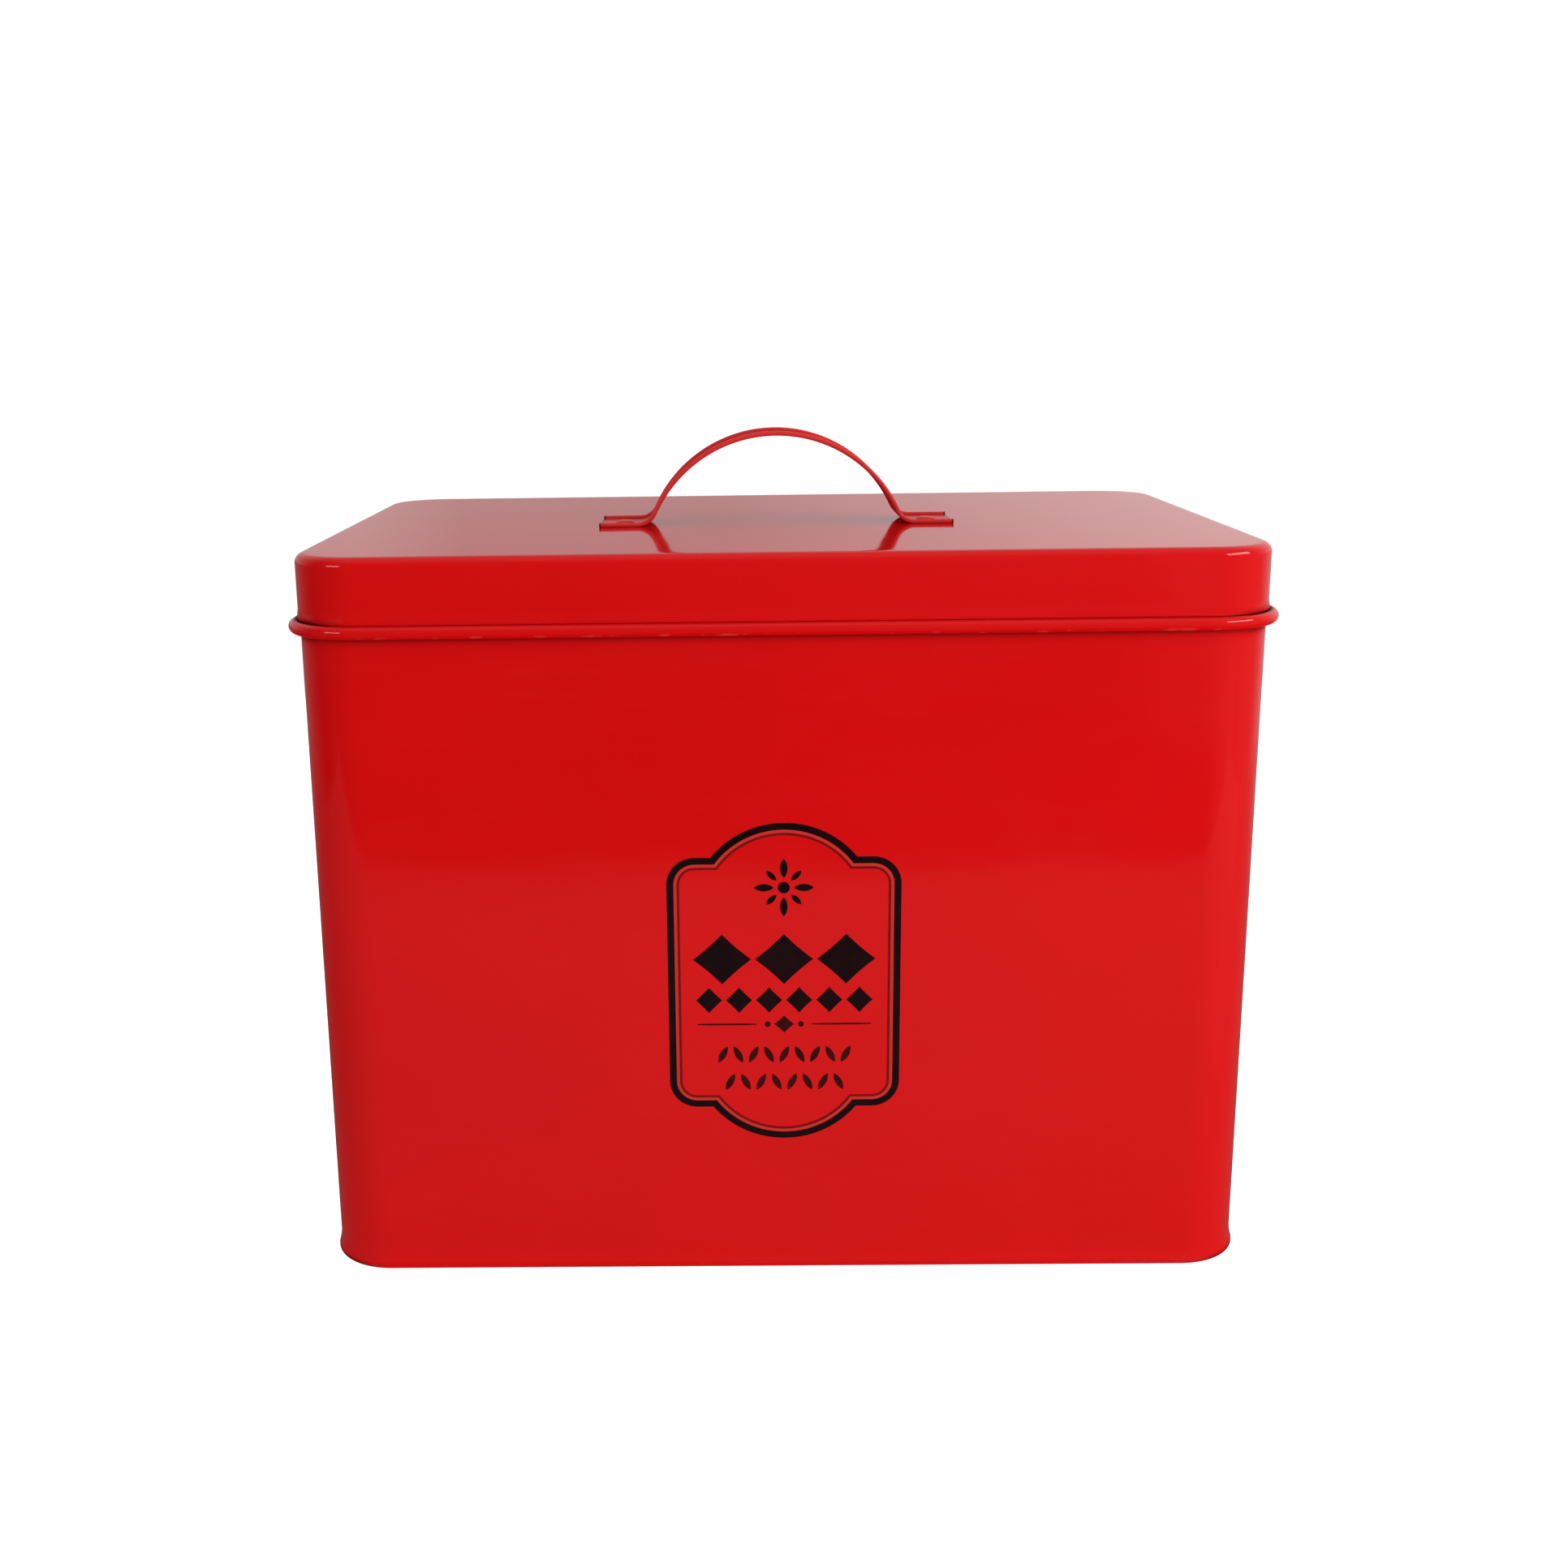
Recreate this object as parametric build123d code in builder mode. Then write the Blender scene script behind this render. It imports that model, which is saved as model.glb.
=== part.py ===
from build123d import *
import math
import os

# A lidded storage tin of painted tinplate: a straight-walled rectangular body with rounded corners
# and a rolled rim, a seamed base, an inner neck, and a lift-off lid with a riveted strip handle.
# Millimetres, +Z up. The origin is on the ground under the middle of the body, and the front is -Y.

# Lid: outer size of its skirt, and the height of its top above the ground.
LID_WIDTH = 240.0
LID_DEPTH = 160.0
LID_CORNER_R = 16.5
LID_TOP_Z = 187.0
LID_EDGE_R = 2.5
HEM_HEIGHT = 2.0
HEM_EDGE_R = 0.35
LID_GAP = 0.1

# Sheet, and where the body's outer face stands inside the lid's outer face.
SHEET = 0.4
WALL_INSET = 0.4

# Rolled rim: an open curl of the body wall, which the lid stands over.
RIM_Z = 169.0
ROLL_R = 1.65
ROLL_END_ANGLE = -120.0

# Neck: a collar inside the rim that the lid's skirt slides over.
NECK_TOP_Z = 183.2
NECK_BELOW_RIM = 12.0
NECK_HEM_HEIGHT = 3.0
NECK_EDGE_R = 0.35

# Foot of the body: the wall flares out to the folded seam of the base.
FLARE_OUT = 0.7
FLARE_TOP_Z = 5.5
SEAM_HEIGHT = 1.0
SEAM_EDGE_R = 0.42
PAN_TOP_Z = 5.0
PAN_EDGE_R = 0.8

# Lock seam down the middle of the back wall, where the wrapped sheet closes.
LOCK_SEAM_WIDTH = 6.0
LOCK_SEAM_THICK = 0.8
LOCK_SEAM_Z = (6.0, 156.5)
LOCK_LINE_WIDTH = 0.35
LOCK_LINE_DEPTH = 0.15

# Handle: a strip with rolled long edges, arched between two feet.
HANDLE_Y = -7.0
HANDLE_WIDTH = 21.5
HANDLE_SHEET = 0.45
HANDLE_TOP_Z = 212.2
ARCH_OUTER_R = 37.0
BEND_R = 6.0
FOOT_END_X = 48.0
EDGE_ROLL_R = 0.62
EDGE_ROLL_HOLE_R = 0.2

# Rivets: one through each foot.
RIVET_X = 41.5
RIVET_SHANK_R = 1.5
RIVET_HOLE_R = 1.55
RIVET_HEAD_R = 2.6
RIVET_HEAD_HEIGHT = 0.6
RIVET_TAIL_R = 2.4
RIVET_TAIL_HEIGHT = 0.7

# Derived sizes.
skirt_bottom_z = RIM_Z + ROLL_R + LID_GAP
wall_inner = -WALL_INSET - SHEET
neck_inner = wall_inner - SHEET
neck_hem_inner = neck_inner - SHEET
arch_inner_r = ARCH_OUTER_R - 2 * EDGE_ROLL_R
arch_centre_z = HANDLE_TOP_Z - ARCH_OUTER_R
bend_centre_z = LID_TOP_Z + BEND_R
bend_rise = bend_centre_z - arch_centre_z
bend_x = math.sqrt((arch_inner_r + BEND_R) ** 2 - bend_rise**2)
arch_start_angle = math.degrees(math.atan2(bend_rise, bend_x))
handle_plane = Plane.XZ.offset(-HANDLE_Y)

os.makedirs("parts", exist_ok=True)


def footprint(outset, mode=Mode.ADD):
    """Outline of the lid's skirt seen from above, moved outwards by outset, inwards if negative."""
    width = LID_WIDTH + 2 * outset
    depth = LID_DEPTH + 2 * outset
    RectangleRounded(width, depth, LID_CORNER_R + outset, mode=mode)


# The body's wall is one section carried round the footprint of its outer face, from a point on a
# side wall. In the section, x is the distance outwards from that face and y is the height.
with BuildSketch() as wall_outline:
    footprint(-WALL_INSET)
wall_path = wall_outline.wire()
section_origin = wall_path @ 0
section_outward = Vector(section_origin.X, 0, 0).normalized()
section_normal = section_outward.cross(Vector(0, 0, 1))
section_plane = Plane(origin=section_origin, x_dir=section_outward, z_dir=section_normal)

roll_hole_r = ROLL_R - SHEET
roll_centre = (roll_hole_r, RIM_Z)
roll_arc = ROLL_END_ANGLE - 180
flare_height = FLARE_TOP_Z - SEAM_HEIGHT
flare_r = (flare_height**2 + FLARE_OUT**2) / (2 * FLARE_OUT)
flare_centre = (flare_r, FLARE_TOP_Z)
outer_flare_arc = math.degrees(math.asin(flare_height / flare_r))
inner_flare_arc = math.degrees(math.asin(flare_height / (flare_r + SHEET)))

with BuildPart() as body_shell:
    with BuildSketch(section_plane):
        with BuildLine():
            outer_flare = CenterArc(flare_centre, flare_r, 180, outer_flare_arc)
            inner_flare = CenterArc(flare_centre, flare_r + SHEET, 180, inner_flare_arc)
            roll_inside = CenterArc(roll_centre, roll_hole_r, 180, roll_arc)
            roll_outside = CenterArc(roll_centre, ROLL_R, 180, roll_arc)
            Line(outer_flare @ 1, inner_flare @ 1)
            Line(outer_flare @ 0, roll_inside @ 0)
            Line(inner_flare @ 0, roll_outside @ 0)
            Line(roll_inside @ 1, roll_outside @ 1)
        make_face()
    sweep(path=wall_path)

    back_y = LID_DEPTH / 2 - WALL_INSET
    with BuildSketch(Plane.XY.offset(LOCK_SEAM_Z[0])):
        with Locations((0, back_y - SHEET - LOCK_SEAM_THICK / 2)):
            Rectangle(LOCK_SEAM_WIDTH, LOCK_SEAM_THICK)
    extrude(amount=LOCK_SEAM_Z[1] - LOCK_SEAM_Z[0])
    with BuildSketch(Plane.XY.offset(LOCK_SEAM_Z[0])):
        with Locations((LOCK_SEAM_WIDTH / 2, back_y - LOCK_LINE_DEPTH / 2)):
            Rectangle(LOCK_LINE_WIDTH, LOCK_LINE_DEPTH)
    extrude(amount=LOCK_SEAM_Z[1] - LOCK_SEAM_Z[0], mode=Mode.SUBTRACT)
body_shell.part.label = "body_shell"
export_step(body_shell.part, "parts/body_shell.step")

# The base is a pan pushed up inside the wall, and its edge is folded out under the wall's flare.
with BuildPart() as base_panel:
    with BuildSketch():
        footprint(FLARE_OUT - WALL_INSET)
    extrude(amount=SEAM_HEIGHT)
    fillet(base_panel.edges().group_by(Axis.Z)[-1], radius=SEAM_EDGE_R)
    fillet(base_panel.edges().group_by(Axis.Z)[0], radius=SEAM_EDGE_R)
    with BuildSketch(Plane.XY.offset(SEAM_HEIGHT)):
        footprint(wall_inner)
    extrude(amount=PAN_TOP_Z - SEAM_HEIGHT)
    fillet(base_panel.edges().group_by(Axis.Z)[-1], radius=PAN_EDGE_R)
    with BuildSketch():
        footprint(neck_inner)
    extrude(amount=PAN_TOP_Z - SHEET, mode=Mode.SUBTRACT)
base_panel.part.label = "base_panel"
export_step(base_panel.part, "parts/base_panel.step")

# The neck is a thin collar with its top edge folded inwards.
with BuildPart() as neck_ring:
    with BuildSketch(Plane.XY.offset(RIM_Z - NECK_BELOW_RIM)):
        footprint(wall_inner)
        footprint(neck_inner, mode=Mode.SUBTRACT)
    extrude(amount=NECK_TOP_Z - RIM_Z + NECK_BELOW_RIM)
    with BuildSketch(Plane.XY.offset(NECK_TOP_Z - NECK_HEM_HEIGHT)):
        footprint(wall_inner)
        footprint(neck_hem_inner, mode=Mode.SUBTRACT)
    extrude(amount=NECK_HEM_HEIGHT)
    fillet(neck_ring.edges().group_by(Axis.Z)[-1], radius=NECK_EDGE_R)
neck_ring.part.label = "neck_ring"
export_step(neck_ring.part, "parts/neck_ring.step")

# The lid is drawn from one sheet, and the foot of its skirt is folded outwards into a flat hem.
with BuildPart() as lid_shell:
    with BuildSketch(Plane.XY.offset(skirt_bottom_z)):
        footprint(0)
    extrude(amount=LID_TOP_Z - skirt_bottom_z)
    fillet(lid_shell.edges().group_by(Axis.Z)[-1], radius=LID_EDGE_R)
    offset(amount=-SHEET, openings=lid_shell.faces().sort_by(Axis.Z)[0])
    with BuildSketch(Plane.XY.offset(skirt_bottom_z)):
        footprint(SHEET)
        footprint(-SHEET, mode=Mode.SUBTRACT)
    extrude(amount=HEM_HEIGHT)
    hem_bottom = lid_shell.faces().sort_by(Axis.Z)[0]
    hem_top_z = skirt_bottom_z + HEM_HEIGHT
    hem_top = lid_shell.faces().filter_by_position(Axis.Z, hem_top_z, hem_top_z)[0]
    fillet(hem_top.outer_wire().edges() + hem_bottom.outer_wire().edges(), radius=HEM_EDGE_R)
    with Locations((RIVET_X, HANDLE_Y, LID_TOP_Z), (-RIVET_X, HANDLE_Y, LID_TOP_Z)):
        Hole(RIVET_HOLE_R, depth=2 * SHEET)
lid_shell.part.label = "lid_shell"
export_step(lid_shell.part, "parts/lid_shell.step")

# The handle is its strip's section swept along the line of the strip's lower face.
with BuildPart() as handle:
    with BuildLine(handle_plane) as handle_line:
        Line((-FOOT_END_X, LID_TOP_Z), (-bend_x, LID_TOP_Z))
        bend_arc = 90 - arch_start_angle
        CenterArc((-bend_x, bend_centre_z), BEND_R, 270, bend_arc)
        arch_arc = 180 - 2 * arch_start_angle
        CenterArc((0, arch_centre_z), arch_inner_r, 180 - arch_start_angle, -arch_arc)
        CenterArc((bend_x, bend_centre_z), BEND_R, 180 + arch_start_angle, bend_arc)
        Line((bend_x, LID_TOP_Z), (FOOT_END_X, LID_TOP_Z))
    strip_end = Plane(origin=(-FOOT_END_X, HANDLE_Y, LID_TOP_Z), x_dir=(0, 1, 0), z_dir=(1, 0, 0))
    edge_x = HANDLE_WIDTH / 2 - EDGE_ROLL_R
    with BuildSketch(strip_end):
        with Locations((0, HANDLE_SHEET / 2)):
            Rectangle(2 * edge_x, HANDLE_SHEET)
        with Locations((edge_x, EDGE_ROLL_R), (-edge_x, EDGE_ROLL_R)):
            Circle(EDGE_ROLL_R)
            Circle(EDGE_ROLL_HOLE_R, mode=Mode.SUBTRACT)
    sweep(path=handle_line.wire())
    with Locations((RIVET_X, HANDLE_Y, LID_TOP_Z), (-RIVET_X, HANDLE_Y, LID_TOP_Z)):
        Cylinder(RIVET_HOLE_R, 4 * HANDLE_SHEET, mode=Mode.SUBTRACT)
handle.part.label = "handle"
export_step(handle.part, "parts/handle.step")

# Each rivet is a turned section: a low domed head on the foot, a shank, and a flat tail in the lid.
strip_top_z = LID_TOP_Z + HANDLE_SHEET
lid_under_z = LID_TOP_Z - SHEET
for rivet_name, rivet_x in (("handle_rivet_left", -RIVET_X), ("handle_rivet_right", RIVET_X)):
    with BuildPart() as rivet:
        with BuildSketch(handle_plane):
            with BuildLine():
                crown = (rivet_x, strip_top_z + RIVET_HEAD_HEIGHT)
                brim = (rivet_x + RIVET_HEAD_R, strip_top_z)
                tail_z = lid_under_z - RIVET_TAIL_HEIGHT
                dome_r = (RIVET_HEAD_R**2 + RIVET_HEAD_HEIGHT**2) / (2 * RIVET_HEAD_HEIGHT)
                RadiusArc(crown, brim, dome_r)
                Polyline(
                    brim,
                    (rivet_x + RIVET_SHANK_R, strip_top_z),
                    (rivet_x + RIVET_SHANK_R, lid_under_z),
                    (rivet_x + RIVET_TAIL_R, lid_under_z),
                    (rivet_x + RIVET_TAIL_R, tail_z),
                    (rivet_x, tail_z),
                    crown,
                )
            make_face()
        revolve(axis=Axis((rivet_x, HANDLE_Y, 0), (0, 0, 1)))
    rivet.part.label = rivet_name
    export_step(rivet.part, f"parts/{rivet_name}.step")
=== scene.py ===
import math

import bmesh
import bpy
from mathutils import Matrix, Vector


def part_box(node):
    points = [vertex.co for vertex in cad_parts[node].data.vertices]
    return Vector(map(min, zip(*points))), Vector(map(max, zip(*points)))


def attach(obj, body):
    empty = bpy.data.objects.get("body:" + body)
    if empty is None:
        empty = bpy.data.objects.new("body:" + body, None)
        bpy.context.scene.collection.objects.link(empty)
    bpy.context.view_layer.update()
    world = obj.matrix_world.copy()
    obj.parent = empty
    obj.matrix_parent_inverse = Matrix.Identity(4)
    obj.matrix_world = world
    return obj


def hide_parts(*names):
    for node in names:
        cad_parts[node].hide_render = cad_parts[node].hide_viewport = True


# A red enamelled storage tin: walls with a rolled rim and a flared foot, a folded base, an inner
# neck, a lift-off lid with a folded hem, a riveted strip handle, and a printed ornament in front.
# Metres, in the row frame.

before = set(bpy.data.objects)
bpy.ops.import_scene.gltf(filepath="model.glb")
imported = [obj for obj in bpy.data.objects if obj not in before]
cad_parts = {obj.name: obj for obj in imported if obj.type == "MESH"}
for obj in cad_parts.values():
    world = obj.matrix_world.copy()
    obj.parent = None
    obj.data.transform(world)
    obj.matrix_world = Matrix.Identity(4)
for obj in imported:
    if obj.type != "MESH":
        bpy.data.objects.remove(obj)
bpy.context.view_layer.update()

MM = 0.001

# Sizes that the frame gives.
body_low, body_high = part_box("body_shell")
base_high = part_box("base_panel")[1]
neck_low, neck_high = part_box("neck_ring")
lid_low, lid_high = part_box("lid_shell")
handle_low, handle_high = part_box("handle")
rivet_boxes = {name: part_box(name) for name in ("handle_rivet_left", "handle_rivet_right")}

# Sheet metal sizes.
SHEET = 0.4 * MM
CORNER_R = 16.5 * MM
LID_EDGE_R = 2.5 * MM
HEM_HEIGHT = 3.0 * MM
HEM_SWELL = 0.3 * MM
HEM_FOLD_R = 0.12 * MM
LID_SETTLE = 0.14 * MM
ROLL_R = 1.65 * MM
ROLL_END_ANGLE = -120
FLARE_OUT = 0.7 * MM
FLARE_HEIGHT = 4.5 * MM
SEAM_HEIGHT = 1.0 * MM
SEAM_EDGE_R = 0.42 * MM
SEAM_INNER_EDGE_R = 0.3 * MM
PAN_EDGE_R = 0.8 * MM
NECK_HEM_HEIGHT = 3.0 * MM
NECK_BEVEL = 0.1 * MM
WALL_OUTSET = -SHEET
WALL_INSIDE = WALL_OUTSET - SHEET
NECK_INSIDE = WALL_INSIDE - SHEET

# The outline of the lid's skirt seen from above: half its width and half its depth.
HALF_W = lid_high.x - SHEET
HALF_D = lid_high.y - SHEET
CORE_X = HALF_W - CORNER_R
CORE_Y = HALF_D - CORNER_R

# The last ring of the flat panels inside that outline, before the sheet bends.
FLAT_RING = -4.5 * MM

# Columns of the meshes that run round that outline.
LONG_STEPS = 46
SHORT_STEPS = 28
CORNER_STEPS = 26

# Back lock seam: a fine line pressed in the outside of the wall, and a folded strip inside.
SEAM_LINE_X = 3.0 * MM
SEAM_LINE_DEPTH = 0.15 * MM
SEAM_LINE_HALF = 0.18 * MM
SEAM_STRIP_HALF = 3.0 * MM
SEAM_STRIP_THICK = 0.8 * MM
SEAM_STRIP_EDGE = 0.3 * MM
SEAM_STRIP_SUNK = 0.1 * MM
SEAM_STRIP_GAP = 0.5 * MM

# Waviness of the wall's thin panels: its heights, where it fades out above the foot and below the
# rim, and how each side's waves are shifted.
BROAD_WAVE = 0.16 * MM
NARROW_WAVE = 0.05 * MM
FINE_WAVE = 0.035 * MM
WAVE_ABOVE_FOOT = 8 * MM
WAVE_BELOW_RIM = 5 * MM
WAVE_PHASES = {"front": 0.0, "back": 2.1, "left": 1.2, "right": 3.4}


# Mesh helpers

WELD_DISTANCE = 0.001 * MM


def add_mesh(name, verts, faces, material, body, smooth_angle=40):
    """A piece from points and faces, welded, turned outwards, smooth below an angle in degrees."""
    mesh = bpy.data.meshes.new(name)
    mesh.from_pydata([tuple(v) for v in verts], [], faces)
    work = bmesh.new()
    work.from_mesh(mesh)
    bmesh.ops.remove_doubles(work, verts=work.verts, dist=WELD_DISTANCE)
    bmesh.ops.recalc_face_normals(work, faces=work.faces)
    limit = math.radians(smooth_angle)
    for face in work.faces:
        face.smooth = True
    for edge in work.edges:
        edge.smooth = edge.calc_face_angle(0) < limit
    work.to_mesh(mesh)
    work.free()
    mesh.materials.append(material)
    piece = bpy.data.objects.new(name, mesh)
    bpy.context.scene.collection.objects.link(piece)
    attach(piece, body)
    return piece


def flatten(loops):
    """The points of all the loops, in one list."""
    return [point for loop in loops for point in loop]


def bridge(loops, closed_section=False):
    """Faces between loops of equal length, each loop going round and closed."""
    count = len(loops[0])
    rows = len(loops) if closed_section else len(loops) - 1
    faces = []
    for row in range(rows):
        here = row * count
        there = (row + 1) % len(loops) * count
        for i in range(count):
            j = (i + 1) % count
            faces.append((here + i, here + j, there + j, there + i))
    return faces


def capped(loops):
    """Faces between loops, and one face over each end."""
    count = len(loops[0])
    last = count * (len(loops) - 1)
    return bridge(loops) + [tuple(range(count)), tuple(range(last, last + count))]


def arc(centre, radius, start, end, steps):
    """Points on an arc in a section, from start to end in degrees, both included."""
    angles = [math.radians(start + (end - start) * i / steps) for i in range(steps + 1)]
    return [(centre[0] + radius * math.cos(a), centre[1] + radius * math.sin(a)) for a in angles]


def run(start, end, steps):
    """Points along a straight line in a section, without the last one."""
    return [
        (start[0] + (end[0] - start[0]) * i / steps, start[1] + (end[1] - start[1]) * i / steps)
        for i in range(steps)
    ]


def spread(low, high, steps):
    """Evenly spaced numbers from low to high, both included."""
    return [low + (high - low) * i / steps for i in range(steps + 1)]


# The footprint: every station is a point of the core rectangle, the way outwards and its side.

def footprint(seam=False):
    """Stations round the footprint, anticlockwise from the front left, as (core point, normal, side)."""
    xs = spread(-CORE_X, CORE_X, LONG_STEPS)
    ys = spread(-CORE_Y, CORE_Y, SHORT_STEPS)
    back = list(xs)
    if seam:
        offsets = (-2, -1, 0, 1, 2)
        back = [x for x in back if abs(x - SEAM_LINE_X) > 4 * SEAM_LINE_HALF]
        back = sorted(back + [SEAM_LINE_X + k * SEAM_LINE_HALF for k in offsets])
    sides = [
        ("front", [Vector((x, -CORE_Y)) for x in xs], Vector((0, -1))),
        ("right", [Vector((CORE_X, y)) for y in ys], Vector((1, 0))),
        ("back", [Vector((x, CORE_Y)) for x in reversed(back)], Vector((0, 1))),
        ("left", [Vector((-CORE_X, y)) for y in reversed(ys)], Vector((-1, 0))),
    ]
    found = []
    for side, points, normal in sides:
        found += [(p, normal, side) for p in points]
        start = math.atan2(normal.y, normal.x)
        for i in range(1, CORNER_STEPS):
            turn = start + math.radians(90) * i / CORNER_STEPS
            found.append((points[-1], Vector((math.cos(turn), math.sin(turn))), "corner"))
    return found


def place(station, outset, z):
    """The point of a station at an outset from the lid's skirt and a height."""
    core, normal, _ = station
    flat = core + normal * (CORNER_R + outset)
    return Vector((flat.x, flat.y, z))


def panel_wave(side, x, y, z):
    """How far a wall panel's outside stands proud of flat, for the slight waviness of thin sheet."""
    if side == "corner":
        return 0.0
    low = body_low.z + WAVE_ABOVE_FOOT
    high = body_high.z - WAVE_BELOW_RIM
    t = (z - low) / (high - low)
    if not 0 < t < 1:
        return 0.0
    s = x / CORE_X if side in ("front", "back") else y / CORE_Y
    phase = WAVE_PHASES[side]
    fade = (1 - s**6) * (math.sin(math.pi * t) ** 0.8)
    broad = BROAD_WAVE * math.cos(1.9 * s + phase) * math.sin(2.6 * t + 0.3 * phase)
    narrow = NARROW_WAVE * math.sin(4.2 * s + 2.3 * t + 1.7 * phase)
    fine = FINE_WAVE * math.cos(7.1 * s - 3.9 * t)
    return fade * (broad + narrow + fine)


def wall_point(station, outset, z):
    """A point of the body's wall, with the panel's waviness and the line of the back seam."""
    core, normal, side = station
    extra = panel_wave(side, core.x, core.y, z)
    if side == "back" and outset == WALL_OUTSET:
        off = abs(core.x - SEAM_LINE_X) / SEAM_LINE_HALF
        extra -= SEAM_LINE_DEPTH * max(0.0, 1 - off)
    return place(station, outset + extra, z)


def level(x, y):
    """The shape of a panel that is quite flat."""
    return 0.0


def plate(panel_z, faces_up, shape):
    """Verts and faces of a panel over the core rectangle; shape gives its extra height at x, y."""
    xs = spread(-CORE_X, CORE_X, LONG_STEPS)
    ys = spread(-CORE_Y, CORE_Y, SHORT_STEPS)
    verts = [Vector((x, y, panel_z + shape(x, y))) for y in ys for x in xs]
    count = len(xs)
    faces = []
    for row in range(len(ys) - 1):
        for i in range(count - 1):
            a = row * count + i
            quad = (a, a + 1, a + count + 1, a + count)
            faces.append(quad if faces_up else quad[::-1])
    return verts, faces


def join(parts):
    """One list of verts and one of faces from several."""
    verts, faces = [], []
    for part_verts, part_faces in parts:
        start = len(verts)
        verts += part_verts
        faces += [tuple(i + start for i in face) for face in part_faces]
    return verts, faces


# Materials, with colours as linear red, green and blue

RED = (0.60, 0.0031, 0.0038)
DEEP_RED = (0.575, 0.0028, 0.0034)
# The handle's reds: its paint, paler and pinker than the tin's, with a painted sheen in them.
STRIP_RED_AND_SHEEN = (0.62, 0.030, 0.029)
STRIP_DEEP_RED_AND_SHEEN = (0.59, 0.026, 0.025)
# Near black for the painted shade in creases and the painted shadow under the rim.
CREASE_SHADE_COLOUR = (0.020, 0.0004, 0.0005)
WORN_EDGE = (0.74, 0.07, 0.05)
CUT_END = (0.03, 0.002, 0.002)

CREASE_REACH = 2.2 * MM
SPECK_HEIGHT = 0.008 * MM
INK_WEAVE_HEIGHT = 0.003 * MM


def new_material(name):
    """A material with one Principled shader: the material, its node tree and the shader."""
    material = bpy.data.materials.new(name)
    material.use_nodes = True
    tree = material.node_tree
    tree.nodes.clear()
    shader = tree.nodes.new("ShaderNodeBsdfPrincipled")
    out = tree.nodes.new("ShaderNodeOutputMaterial")
    tree.links.new(shader.outputs["BSDF"], out.inputs["Surface"])
    return material, tree, shader


def noise(tree, scale, detail=2.0, stretch=(1, 1, 1), distortion=0.0):
    """Noise over the object's own coordinates, stretched along its axes."""
    coords = tree.nodes.new("ShaderNodeTexCoord")
    mapping = tree.nodes.new("ShaderNodeMapping")
    mapping.inputs["Scale"].default_value = stretch
    texture = tree.nodes.new("ShaderNodeTexNoise")
    texture.inputs["Scale"].default_value = scale
    texture.inputs["Detail"].default_value = detail
    texture.inputs["Distortion"].default_value = distortion
    tree.links.new(coords.outputs["Object"], mapping.inputs["Vector"])
    tree.links.new(mapping.outputs["Vector"], texture.inputs["Vector"])
    return texture.outputs["Fac"]


def remap(tree, value, low, high, to_low, to_high):
    """The value's range low to high spread over to_low to to_high, and held at its ends."""
    node = tree.nodes.new("ShaderNodeMapRange")
    node.inputs["From Min"].default_value = low
    node.inputs["From Max"].default_value = high
    node.inputs["To Min"].default_value = to_low
    node.inputs["To Max"].default_value = to_high
    tree.links.new(value, node.inputs["Value"])
    return node.outputs["Result"]


def mix_colours(tree, share, first, second):
    """A colour between two, each a socket or a plain colour."""
    node = tree.nodes.new("ShaderNodeMix")
    node.data_type = "RGBA"
    tree.links.new(share, node.inputs["Factor"])
    sockets = [s for s in node.inputs if s.type == "RGBA"]
    for socket, colour in zip(sockets, (first, second)):
        if isinstance(colour, bpy.types.NodeSocket):
            tree.links.new(colour, socket)
        else:
            socket.default_value = (*colour, 1)
    return [s for s in node.outputs if s.type == "RGBA"][0]


def maths(tree, operation, first, second):
    """One maths node; each of the two values is a socket or a number."""
    node = tree.nodes.new("ShaderNodeMath")
    node.operation = operation
    for socket, value in zip(node.inputs, (first, second)):
        if isinstance(value, bpy.types.NodeSocket):
            tree.links.new(value, socket)
        else:
            socket.default_value = value
    return node.outputs["Value"]


def bump(tree, height, distance, under=None):
    """A normal raised by the height, up to the distance, over the normal of another bump."""
    node = tree.nodes.new("ShaderNodeBump")
    node.inputs["Distance"].default_value = distance
    tree.links.new(height, node.inputs["Height"])
    if under is not None:
        tree.links.new(under, node.inputs["Normal"])
    return node.outputs["Normal"]


def place_in_frame(tree):
    """The three coordinates of the shaded point in the piece's own frame."""
    coords = tree.nodes.new("ShaderNodeTexCoord")
    split = tree.nodes.new("ShaderNodeSeparateXYZ")
    tree.links.new(coords.outputs["Object"], split.inputs["Vector"])
    return split.outputs["X"], split.outputs["Y"], split.outputs["Z"]


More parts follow.
